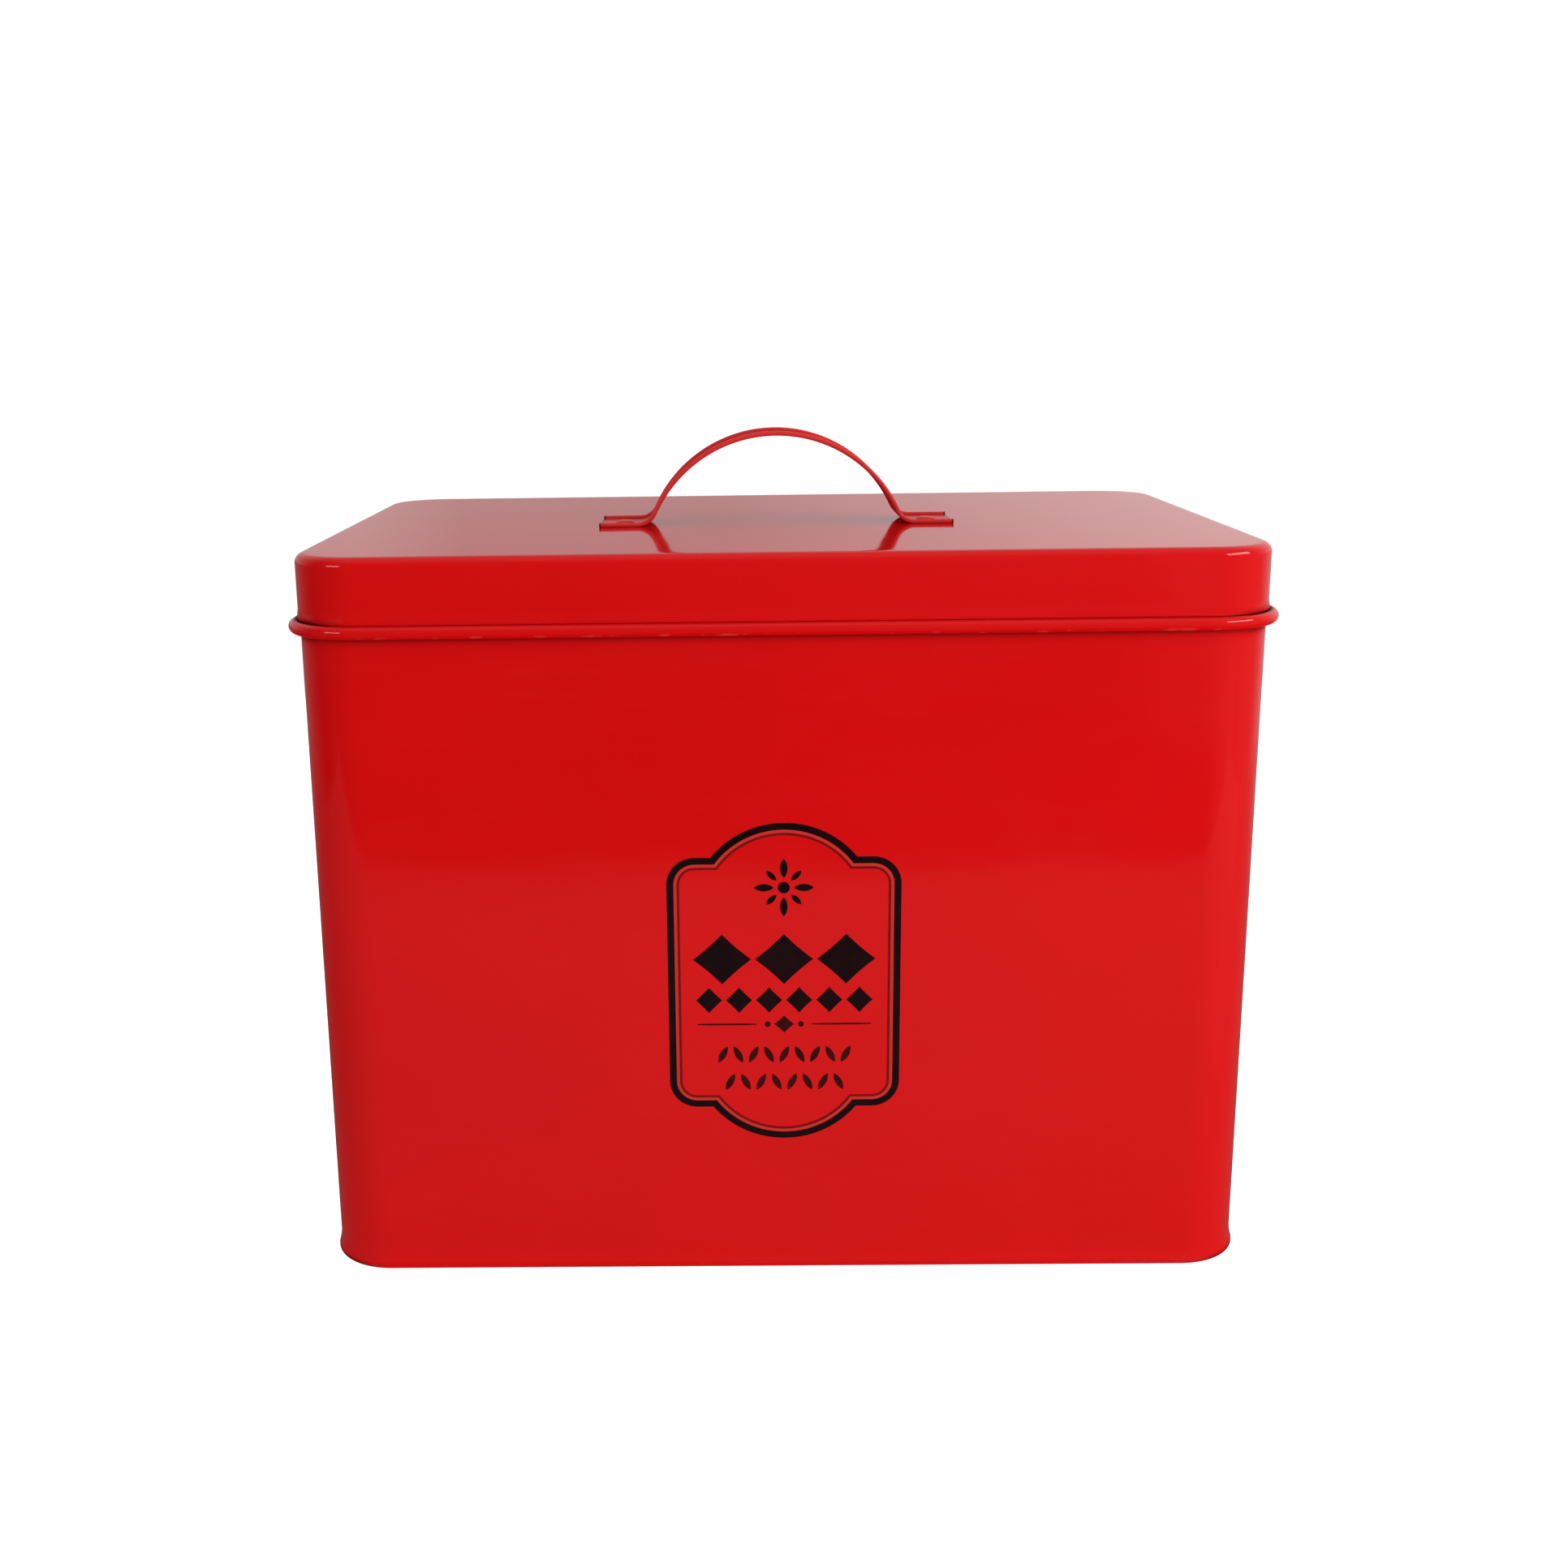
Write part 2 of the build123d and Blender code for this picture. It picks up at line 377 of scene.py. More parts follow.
def painted_crease_shade(tree):
    """Shares of painted shade in the creases at the rim's ends and under the rim, and of dullness that
    takes the reflection out of that shade.
    """
    crease = tree.nodes.new("ShaderNodeAmbientOcclusion")
    crease.samples = 4
    crease.inputs["Distance"].default_value = CREASE_REACH
    x, y, z = place_in_frame(tree)
    off_centre = maths(tree, "ABSOLUTE", x, 0.0)
    off_middle = maths(tree, "ABSOLUTE", y, 0.0)
    # Painted shade: the rim's ends by the corners darkened almost to black.
    near_corner = remap(tree, off_middle, CORE_Y - 14 * MM, CORE_Y - 2 * MM, 0, 1)
    ends = remap(tree, off_centre, CORE_X, CORE_X + 9 * MM, 0, 0.97)
    ends = maths(tree, "MULTIPLY", ends, near_corner)
    widened = remap(tree, off_centre, CORE_X + 6 * MM, CORE_X + 14 * MM, 0, 0.08)
    open_sky = maths(tree, "SUBTRACT", crease.outputs["AO"], widened)
    closed = remap(tree, open_sky, 0.5, 0.88, 1, 0)

    # Painted shadow: a band of the wall just under the rolled rim.
    rim_z = body_high.z - ROLL_R
    under_rim = remap(tree, z, rim_z - 0.6 * MM, rim_z + 0.1 * MM, 1, 0)
    near_rim = remap(tree, z, rim_z - 5 * MM, rim_z - 2 * MM, 0, 1)
    shelter = maths(tree, "MULTIPLY", under_rim, near_rim)
    shaded_places = maths(tree, "MAXIMUM", ends, maths(tree, "MULTIPLY", shelter, 0.95))
    crease_shade = maths(tree, "MULTIPLY", closed, shaded_places)
    return crease_shade, maths(tree, "MAXIMUM", shelter, remap(tree, crease_shade, 0, 0.45, 0, 1))


def enamel(name, red, deep_red, base_roughness, streaks, peel_height):
    """Gloss stoving enamel: slight mottling, orange peel, smudges, painted shade in creases and under the
    rim, worn edges.
    """
    material, tree, shader = new_material(name)
    mottle = remap(tree, noise(tree, 14, 4), 0.35, 0.65, 0, 1)
    colour = mix_colours(tree, mottle, red, deep_red)
    crease_shade, shade_dulling = painted_crease_shade(tree)
    # Painted shade mixed into the colour.
    colour = mix_colours(tree, crease_shade, colour, CREASE_SHADE_COLOUR)

    shape = tree.nodes.new("ShaderNodeNewGeometry")
    edges = remap(tree, shape.outputs["Pointiness"], 0.56, 0.68, 0, 1)
    chips = remap(tree, noise(tree, 260, 3), 0.55, 0.68, 0, 0.4)
    worn = maths(tree, "MULTIPLY", edges, chips)
    colour = mix_colours(tree, worn, colour, WORN_EDGE)
    tree.links.new(colour, shader.inputs["Base Color"])

    smudge = remap(tree, noise(tree, 38, 3, distortion=0.6), 0.45, 0.75, 0, 0.03)
    fine = remap(tree, noise(tree, 30, 4, stretch=streaks), 0.5, 0.8, 0, 0.025)
    rough = maths(tree, "ADD", maths(tree, "ADD", smudge, fine), base_roughness)
    rough = maths(tree, "ADD", rough, maths(tree, "MULTIPLY", crease_shade, 0.5))
    tree.links.new(rough, shader.inputs["Roughness"])

    peel = bump(tree, noise(tree, 330, 2), peel_height)
    specks = remap(tree, noise(tree, 900, 1), 0.74, 0.8, 0, 1)
    tree.links.new(bump(tree, specks, SPECK_HEIGHT, under=peel), shader.inputs["Normal"])
    shader.inputs["IOR"].default_value = 1.5
    # Reflection taken out of the painted shade.
    tree.links.new(remap(tree, shade_dulling, 0, 1, 0.5, 0.02), shader.inputs["Specular IOR Level"])
    return material


def strip_enamel(name):
    """The handle's enamel: a painted shade that takes its reflection away on the strip's under side, and
    darker at its cut ends.
    """
    material = enamel(name, STRIP_RED_AND_SHEEN, STRIP_DEEP_RED_AND_SHEEN, 0.24, (3, 40, 3), 0.001 * MM)
    tree = material.node_tree
    shader = next(node for node in tree.nodes if node.type == "BSDF_PRINCIPLED")
    painted = shader.inputs["Base Color"].links[0].from_socket
    gloss = shader.inputs["Specular IOR Level"].links[0].from_socket
    x, _, _ = place_in_frame(tree)
    off_centre = maths(tree, "ABSOLUTE", x, 0.0)
    # Darker at the strip's cut ends.
    cut = remap(tree, off_centre, handle_high.x - 0.6 * MM, handle_high.x - 0.3 * MM, 0, 0.85)
    tree.links.new(mix_colours(tree, cut, painted, CUT_END), shader.inputs["Base Color"])
    shape = tree.nodes.new("ShaderNodeNewGeometry")
    split = tree.nodes.new("ShaderNodeSeparateXYZ")
    tree.links.new(shape.outputs["Normal"], split.inputs["Vector"])
    # Painted shade: no reflection on faces that turn downwards, less on the rest.
    upper = remap(tree, split.outputs["Z"], -0.45, -0.1, 0, 0.35)
    tree.links.new(maths(tree, "MULTIPLY", gloss, upper), shader.inputs["Specular IOR Level"])
    return material


def printing_ink(name, colour, thin_colour):
    """Satin screen ink, thinner in patches where the screen's mesh let less through."""
    material, tree, shader = new_material(name)
    patches = remap(tree, noise(tree, 160, 4), 0.35, 0.7, 0, 1)
    tree.links.new(mix_colours(tree, patches, colour, thin_colour), shader.inputs["Base Color"])
    weave = noise(tree, 1400, 1)
    tree.links.new(remap(tree, weave, 0.3, 0.7, 0.18, 0.28), shader.inputs["Roughness"])
    tree.links.new(bump(tree, weave, INK_WEAVE_HEIGHT), shader.inputs["Normal"])
    shader.inputs["Specular IOR Level"].default_value = 0.2
    return material


tin_enamel = enamel("tin_enamel", RED, DEEP_RED, 0.085, (1, 1, 12), 0.003 * MM)
lid_enamel = enamel("lid_enamel", RED, DEEP_RED, 0.06, (2, 40, 40), 0.0008 * MM)
handle_enamel = strip_enamel("handle_enamel")
black_ink = printing_ink("black_ink", (0.007, 0.0012, 0.0020), (0.012, 0.0020, 0.0028))
maroon_ink = printing_ink("maroon_ink", (0.16, 0.0016, 0.0026), (0.20, 0.0020, 0.0032))
pale_ink = printing_ink("pale_ink", (0.48, 0.026, 0.018), (0.54, 0.020, 0.014))
thin_ink = printing_ink("thin_ink", (0.030, 0.0014, 0.0022), (0.055, 0.0018, 0.0026))


# The tin

def make_body():
    """The wall: flared foot, panels, and the open curl at the rim, in one closed section."""
    stations = footprint(seam=True)
    wall_low = SEAM_HEIGHT + FLARE_HEIGHT
    rim_z = body_high.z - ROLL_R
    flare_r = (FLARE_HEIGHT**2 + FLARE_OUT**2) / (2 * FLARE_OUT)
    flare_arc = math.degrees(math.asin(FLARE_HEIGHT / flare_r))
    flare_centre = (WALL_OUTSET + flare_r, wall_low)
    curl_centre = (WALL_OUTSET + ROLL_R - SHEET, rim_z)
    inner_arc = math.degrees(math.asin(FLARE_HEIGHT / (flare_r + SHEET)))

    section = arc(flare_centre, flare_r, 180 + flare_arc, 180, 8)[:-1]
    section += run((WALL_OUTSET, wall_low), (WALL_OUTSET, rim_z), 42)
    section += arc(curl_centre, ROLL_R - SHEET, 180, ROLL_END_ANGLE, 24)
    section += arc(curl_centre, ROLL_R, ROLL_END_ANGLE, 180, 30)[:-1]
    section += run((WALL_INSIDE, rim_z), (WALL_INSIDE, wall_low), 42)
    section += arc(flare_centre, flare_r + SHEET, 180, 180 + inner_arc, 8)

    loops = [[wall_point(s, u, z) for s in stations] for u, z in section]
    body = add_mesh("tin_body", flatten(loops), bridge(loops, True), tin_enamel, "tin", 50)
    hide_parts("body_shell")


def make_seam_strip():
    """The folded strip of the lock seam, inside the back wall, with rounded long edges."""
    station = (Vector((0, CORE_Y)), Vector((0, 1)), "back")
    low = SEAM_HEIGHT + FLARE_HEIGHT + SEAM_STRIP_GAP
    high = neck_low.z - SEAM_STRIP_GAP
    half = SEAM_STRIP_HALF
    thick = SEAM_STRIP_THICK
    edge = SEAM_STRIP_EDGE
    profile = [(-half, SEAM_STRIP_SUNK), (-half, -thick + edge), (-half + edge, -thick)]
    profile += [(half - edge, -thick), (half, -thick + edge), (half, SEAM_STRIP_SUNK)]
    rows = []
    for z in spread(low, high, 30):
        wall_y = wall_point(station, WALL_INSIDE, z).y
        rows.append([Vector((x, wall_y + depth, z)) for x, depth in profile])
    add_mesh("lock_seam_strip", flatten(rows), capped(rows), tin_enamel, "tin")


def make_base():
    """The base: a pan pushed up inside the wall, its edge folded out under the flare."""
    stations = footprint()
    top = base_high.z
    under = top - SHEET
    fold_x = base_high.x - HALF_W - SEAM_EDGE_R
    bend = PAN_EDGE_R - SHEET
    edge = SEAM_INNER_EDGE_R
    section = run((-CORNER_R, top), (FLAT_RING, top), 4) + [(FLAT_RING, top)]
    section += arc((WALL_INSIDE - PAN_EDGE_R, top - PAN_EDGE_R), PAN_EDGE_R, 90, 0, 6)
    section += [(WALL_INSIDE, 0.6 * top), (WALL_INSIDE, SEAM_HEIGHT), (0.5 * WALL_INSIDE, SEAM_HEIGHT)]
    section += arc((fold_x, SEAM_HEIGHT - SEAM_EDGE_R), SEAM_EDGE_R, 90, 0, 5)
    section += arc((fold_x, SEAM_EDGE_R), SEAM_EDGE_R, 0, -90, 5)
    section += arc((NECK_INSIDE + edge, edge), edge, -90, -180, 4)
    section += arc((NECK_INSIDE - bend, under - bend), bend, 0, 90, 5)
    section += run((FLAT_RING, under), (-CORNER_R, under), 4) + [(-CORNER_R, under)]
    loops = [[place(s, u, z) for s in stations] for u, z in section]
    walls = (flatten(loops), bridge(loops))
    verts, faces = join([walls, plate(top, True, level), plate(under, False, level)])
    base = add_mesh("tin_base", verts, faces, tin_enamel, "tin", 45)
    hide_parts("base_panel")


def make_neck():
    """The inner neck: a thin collar, its top edge folded inwards."""
    stations = footprint()
    low = neck_low.z
    fold_z = neck_high.z - SHEET
    hem_low = neck_high.z - NECK_HEM_HEIGHT
    hem_x = NECK_INSIDE - SHEET
    section = [(WALL_INSIDE, low), (WALL_INSIDE, 0.5 * (low + neck_high.z)), (WALL_INSIDE, fold_z)]
    section += arc((NECK_INSIDE, fold_z), SHEET, 15, 165, 8)
    section += [(hem_x, fold_z), (hem_x, hem_low + NECK_BEVEL), (hem_x + NECK_BEVEL, hem_low)]
    section += [(NECK_INSIDE, hem_low), (NECK_INSIDE, 0.5 * (low + hem_low)), (NECK_INSIDE, low)]
    loops = [[place(s, u, z) for s in stations] for u, z in section]
    neck = add_mesh("tin_neck", flatten(loops), bridge(loops, True), tin_enamel, "tin", 50)
    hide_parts("neck_ring")


# The lid

LID_CROWN = 0.10 * MM
LID_WAVE = 0.05 * MM
LID_RIPPLE = 0.03 * MM


def lid_crown(x, y):
    """The slight unevenness of the lid's flat top."""
    s = x / CORE_X
    t = y / CORE_Y
    wave = LID_WAVE * math.sin(2.4 * s + 0.8)
    ripple = LID_RIPPLE * math.cos(4.1 * s - 1.6 * t)
    return (1 - s * s) * (1 - t * t) * (LID_CROWN + wave + ripple)


def make_lid():
    """The lid: top, rounded shoulder, skirt and the hem folded out at its foot, as closed sheet."""
    stations = footprint()
    foot = lid_low.z - LID_SETTLE
    top = lid_high.z
    under = top - SHEET
    shoulder = (-LID_EDGE_R, top - LID_EDGE_R)
    hem_top = foot + HEM_HEIGHT
    fold_z = foot + HEM_FOLD_R
    section = run((-CORNER_R, top), (FLAT_RING, top), 4) + [(FLAT_RING, top)]
    section += arc(shoulder, LID_EDGE_R, 90, 0, 14)
    section += run((0, shoulder[1] - 0.6 * MM), (0, hem_top), 5)
    for share in spread(0, 1, 10):
        swell = HEM_SWELL * 0.5 * (1 - math.cos(math.pi * share))
        section.append((swell, hem_top + (fold_z - hem_top) * share))
    section += arc((HEM_SWELL - HEM_FOLD_R, fold_z), HEM_FOLD_R, 0, -90, 5)
    section += arc((HEM_FOLD_R - SHEET, fold_z), HEM_FOLD_R, -90, -180, 5)
    section += run((-SHEET, foot + 1.2 * MM), (-SHEET, shoulder[1]), 6)
    section += arc(shoulder, LID_EDGE_R - SHEET, 0, 90, 10)
    section += run((FLAT_RING, under), (-CORNER_R, under), 4) + [(-CORNER_R, under)]
    loops = [[place(s, u, z) for s in stations] for u, z in section]
    walls = (flatten(loops), bridge(loops))
    verts, faces = join([walls, plate(top, True, lid_crown), plate(under, False, lid_crown)])
    lid = add_mesh("lid_cap", verts, faces, lid_enamel, "lid", 50)
    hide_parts("lid_shell")


# The handle

HANDLE_SHEET = 0.45 * MM
EDGE_ROLL_R = 0.62 * MM
EDGE_ROLL_HOLE_R = 0.28 * MM
ARCH_OUTER_R = 37 * MM
BEND_R = 6 * MM
CURL_END_ANGLE = 195


def handle_line():
    """Stations along the strip's lower face, left to right, as (point in XZ, way along)."""
    foot_z = handle_low.z
    inner_r = ARCH_OUTER_R - 2 * EDGE_ROLL_R
    arch = Vector((0, handle_high.z - ARCH_OUTER_R))
    bend_z = foot_z + BEND_R
    bend_x = math.sqrt((inner_r + BEND_R) ** 2 - (bend_z - arch.y) ** 2)
    start = math.degrees(math.atan2(bend_z - arch.y, bend_x))
    end_x = handle_high.x
    points = run((-end_x, foot_z), (-bend_x, foot_z), 10)
    points += arc((-bend_x, bend_z), BEND_R, 270, 360 - start, 12)[:-1]
    points += arc(arch, inner_r, 180 - start, start, 72)[:-1]
    points += arc((bend_x, bend_z), BEND_R, 180 + start, 270, 12)[:-1]
    points += run((bend_x, foot_z), (end_x, foot_z), 10) + [(end_x, foot_z)]
    points = [Vector(p) for p in points]
    line = []
    for i, point in enumerate(points):
        along = points[min(i + 1, len(points) - 1)] - points[max(i - 1, 0)]
        line.append((point, along.normalized()))
    return line


def handle_section():
    """The strip's section across: a flat web with both long edges curled up and in."""
    web = 0.5 * (handle_high.y - handle_low.y) - EDGE_ROLL_R
    centre = (web, EDGE_ROLL_R)
    half = arc(centre, EDGE_ROLL_R, -90, CURL_END_ANGLE, 26)
    half += arc(centre, EDGE_ROLL_HOLE_R, CURL_END_ANGLE, -60, 18)
    lip = (web - 0.25 * MM, HANDLE_SHEET)
    half += [lip, (0.6 * web, HANDLE_SHEET), (0.25 * web, HANDLE_SHEET)]
    other = [(-w, h) for w, h in reversed(half)]
    return half + other


def make_handle():
    """The strip's section carried along its line, and cut square at both ends."""
    middle_y = 0.5 * (handle_low.y + handle_high.y)
    section = handle_section()
    rows = []
    for point, along in handle_line():
        up = Vector((-along.y, along.x))
        row = []
        for w, h in section:
            flat = point + up * h
            row.append(Vector((flat.x, middle_y - w, flat.y)))
        rows.append(row)
    strip = add_mesh("handle_strip", flatten(rows), capped(rows), handle_enamel, "lid", 35)
    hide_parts("handle")


RIVET_STEPS = 32
SHANK_R = 1.5 * MM
TAIL_R = 2.35 * MM


def make_rivet(node, name):
    """A rivet: a low head set with a flat top, its shank, and the flattened tail under the lid."""
    low, high = rivet_boxes[node]
    centre = 0.5 * (low + high)
    radius = 0.5 * (high.x - low.x)
    head_z = handle_low.z + HANDLE_SHEET
    tail_z = lid_high.z - SHEET
    section = [(0, high.z), (0.5 * radius, high.z - 0.03 * MM), (0.7 * radius, high.z - 0.11 * MM)]
    section += [(0.86 * radius, high.z - 0.26 * MM), (0.97 * radius, head_z + 0.16 * MM)]
    section += [(radius, head_z + 0.06 * MM), (0.97 * radius, head_z), (SHANK_R, head_z - 0.05 * MM)]
    section += [(SHANK_R, tail_z), (TAIL_R - 0.15 * MM, tail_z), (TAIL_R, tail_z - 0.2 * MM)]
    section += [(TAIL_R - 0.15 * MM, low.z + 0.1 * MM), (TAIL_R - 0.55 * MM, low.z), (0, low.z)]
    turn = [2 * math.pi * i / RIVET_STEPS for i in range(RIVET_STEPS)]
    loops = []
    for r, z in section:
        loops.append([Vector((centre.x + r * math.cos(a), centre.y + r * math.sin(a), z)) for a in turn])
    rivet = add_mesh(name, flatten(loops), bridge(loops), handle_enamel, "lid", 60)
    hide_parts(node)


# The printed ornament on the front wall. Its places are across and up from the plaque's middle.

PLAQUE_Z = 78.4 * MM
PLAQUE_HALF_W = 29.25 * MM
PLAQUE_HALF_H = 42.1 * MM
SHOULDER_R = 7.0 * MM
SHOULDER_Z = 33.3 * MM
NOTCH_X = 18.2 * MM
BROAD_LINE = 1.75 * MM
PALE_LINE = 0.8 * MM
FINE_LINE = 0.6 * MM
ROSETTE_Z = 25.4 * MM
LOZENGE_Z = 6.6 * MM
DIAMOND_Z = -4.3 * MM
RULE_Z = -10.8 * MM
LEAF_LEAN = 28
INK_PROUD = 0.05 * MM
INK_SUNK = 0.06 * MM


def on_front(x, dz, proud):
    """The point of the front wall at a place of the plaque, standing proud by that much."""
    z = PLAQUE_Z + dz
    wave = panel_wave("front", x, 0, z)
    return Vector((x, -(HALF_D + WALL_OUTSET + wave + proud), z))


def plaque_outline(inset):
    """The plaque's outline moved inwards: bowed top and bottom between rounded shoulders."""
    rise = PLAQUE_HALF_H - SHOULDER_Z
    bow_r = (NOTCH_X**2 + rise**2) / (2 * rise)
    bow_z = PLAQUE_HALF_H - bow_r
    bow = bow_r - inset
    side = PLAQUE_HALF_W - inset
    notch = math.degrees(math.acos((SHOULDER_Z - inset - bow_z) / bow))
    corner = (PLAQUE_HALF_W - SHOULDER_R, SHOULDER_Z - SHOULDER_R)
    quarter = run((side, 0), (side, corner[1]), 7) + arc(corner, SHOULDER_R - inset, 0, 90, 12)
    quarter += arc((0, bow_z), bow, 90 - notch, 90, 14)[:-1]
    left = [(-x, z) for x, z in reversed(quarter[1:])]
    upper = quarter + [(0, bow_z + bow)] + left
    lower = [(x, -z) for x, z in reversed(upper[1:])]
    return upper + lower[:-1]


def print_line(name, inset, width, ink, proud):
    """A line of ink that follows the plaque's outline, as a thin closed band."""
    outer = plaque_outline(inset)
    inner = plaque_outline(inset + width)
    loops = [
        [on_front(x, z, -INK_SUNK) for x, z in outer],
        [on_front(x, z, proud) for x, z in outer],
        [on_front(x, z, proud) for x, z in inner],
        [on_front(x, z, -INK_SUNK) for x, z in inner],
    ]
    add_mesh(name, flatten(loops), bridge(loops, True), ink, "tin", 30)


def blot(outline, centre):
    """A filled shape: rings from its outline in to its centre, so that it can follow the wall."""
    middle = Vector(centre)
    loops = [[on_front(*middle, -INK_SUNK)] * len(outline)]
    loops.append([on_front(x, z, -INK_SUNK) for x, z in outline])
    for share in (1.0, 0.7, 0.4):
        ring = [middle.lerp(Vector(point), share) for point in outline]
        loops.append([on_front(x, z, INK_PROUD) for x, z in ring])
    loops.append([on_front(*middle, INK_PROUD)] * len(outline))
    return flatten(loops), bridge(loops)


def turned(points, centre, degrees):
    """Points about the origin, turned and moved to a centre."""
    c = math.cos(math.radians(degrees))
    s = math.sin(math.radians(degrees))
    return [(centre[0] + x * c - z * s, centre[1] + x * s + z * c) for x, z in points]


def leaf(centre, length, width, degrees):
    """A pointed leaf standing on end, then turned."""
    bow_r = ((length / 2) ** 2 + (width / 2) ** 2) / width
    half = math.degrees(math.asin(length / 2 / bow_r))
    right = arc((width / 2 - bow_r, 0), bow_r, -half, half, 8)[:-1]
    left = [(-x, -z) for x, z in right]
    return blot(turned(right + left, centre, degrees), centre)


def lozenge(centre, width, height, hollow):
    """A diamond with slightly hollow sides."""
    across = Vector((width / 2, 0))
    upright = Vector((0, height / 2))
    corners = [across, upright, -across, -upright, across]
    points = []
    for corner, after in zip(corners, corners[1:]):
        for t in spread(0, 1, 6)[:-1]:
            side = corner.lerp(after, t)
            points.append(Vector(centre) + side * (1 - hollow * math.sin(math.pi * t)))
    return blot(points, centre)


def disc(centre, radius):
    """A round dot."""
    return blot(arc(centre, radius, 0, 345, 23), centre)


def rule(start_x, end_x, dz, width):
    """A straight thin rule with tapered ends."""
    xs = spread(start_x, end_x, 5)
    halves = [0.3 * width] + [0.5 * width] * 4 + [0.3 * width]
    upper = [(x, dz + half) for x, half in zip(xs, halves)]
    lower = [(x, dz - half) for x, half in zip(xs, halves)]
    outline = lower + upper[::-1]
    count = len(outline)
    back = [on_front(x, z, -INK_SUNK) for x, z in outline]
    front = [on_front(x, z, INK_PROUD) for x, z in outline]
    faces = [(i, (i + 1) % count, count + (i + 1) % count, count + i) for i in range(count)]
    for i in range(len(xs) - 1):
        j = count - 1 - i
        faces.append((count + i, count + i + 1, count + j - 1, count + j))
        faces.append((i, i + 1, j - 1, j))
    return back + front, faces


def add_print(name, parts, ink):
    """Several printed shapes as one piece of one ink."""
    verts, faces = join(parts)
    add_mesh(name, verts, faces, ink, "tin", 30)


def make_plaque_lines():
    """The plaque's outline: a broad black line, a pale one inside it, and a fine dark one."""
    print_line("badge_outline", 0, BROAD_LINE, black_ink, INK_PROUD)
    print_line("badge_pale_line", BROAD_LINE, PALE_LINE, pale_ink, 0.5 * INK_PROUD)
    print_line("badge_fine_line", BROAD_LINE + PALE_LINE, FINE_LINE, maroon_ink, INK_PROUD)


def make_rosette():
    """Eight petals round a dot, long and short in turn."""
    petals = [disc((0, ROSETTE_Z), 1.5 * MM)]
    for k in range(8):
        reach, length, width = (4.4, 3.6, 1.4) if k % 2 else (5.0, 5.0, 1.9)
        turn = math.radians(45 * k)
        centre = (reach * MM * math.sin(turn), ROSETTE_Z + reach * MM * math.cos(turn))
        petals.append(leaf(centre, length * MM, width * MM, -45 * k))
    add_print("badge_rosette", petals, black_ink)


def make_diamonds():
    """A row of three large lozenges over a row of six small diamonds."""
    large = [lozenge((x, LOZENGE_Z), 14.6 * MM, 13.2 * MM, 0.04) for x in spread(-15.6 * MM, 15.6 * MM, 2)]
    add_print("badge_lozenges", large, black_ink)
    small = [lozenge((x, DIAMOND_Z), 6.6 * MM, 6.8 * MM, 0.03) for x in spread(-19 * MM, 19 * MM, 5)]
    add_print("badge_diamonds", small, black_ink)


def make_rules():
    """Two thin rules with a diamond and two dots between them."""
    parts = [lozenge((0, RULE_Z), 5.0 * MM, 4.6 * MM, 0.05)]
    for side in (-1, 1):
        parts.append(rule(side * 7 * MM, side * 22 * MM, RULE_Z, 0.45 * MM))
        parts.append(disc((side * 4.2 * MM, RULE_Z), 0.75 * MM))
    add_print("badge_rules", parts, thin_ink)


def make_leaves(name, dz, count, half_span):
    """A row of small leaves that lean left and right in turn."""
    leaves = []
    for i, x in enumerate(spread(-half_span, half_span, count - 1)):
        leaves.append(leaf((x, dz), 5.0 * MM, 1.7 * MM, LEAF_LEAN if i % 2 else -LEAF_LEAN))
    add_print(name, leaves, thin_ink)


make_body()
make_seam_strip()
make_base()
make_neck()
make_lid()
make_handle()
make_rivet("handle_rivet_left", "rivet_left")
make_rivet("handle_rivet_right", "rivet_right")
make_plaque_lines()
make_rosette()
make_diamonds()
make_rules()
make_leaves("badge_leaves_upper", -19 * MM, 9, 15.6 * MM)
make_leaves("badge_leaves_lower", -26.5 * MM, 8, 13.8 * MM)


# Stage, light and camera

# The even light that falls on the tin from all round.
AMBIENT = 0.67

FLOOR_FRONT = -0.444
FLOOR_BACK = 0.7
FLOOR_SIDE = 0.62
CEILING = (0.38, 0.36, 0.36)
WALL_TINT = (1.18, 1.0, 1.0)
WHITE = (1.0, 1.0, 1.0)
DARK = (0.0, 0.0, 0.0)

# The point that the lights aim at.
AIM = Vector((0, 0, 0.09))

# The camera's place, its turns in radians, its lens in millimetres and its sideways shift.
CAMERA_PLACE = Vector((-12.08, -510.21, 238.16)) * MM
CAMERA_YAW = -0.0154
CAMERA_PITCH = 0.2449
CAMERA_ROLL = -0.0140
CAMERA_LENS = 41.51
CAMERA_SHIFT = 0.049


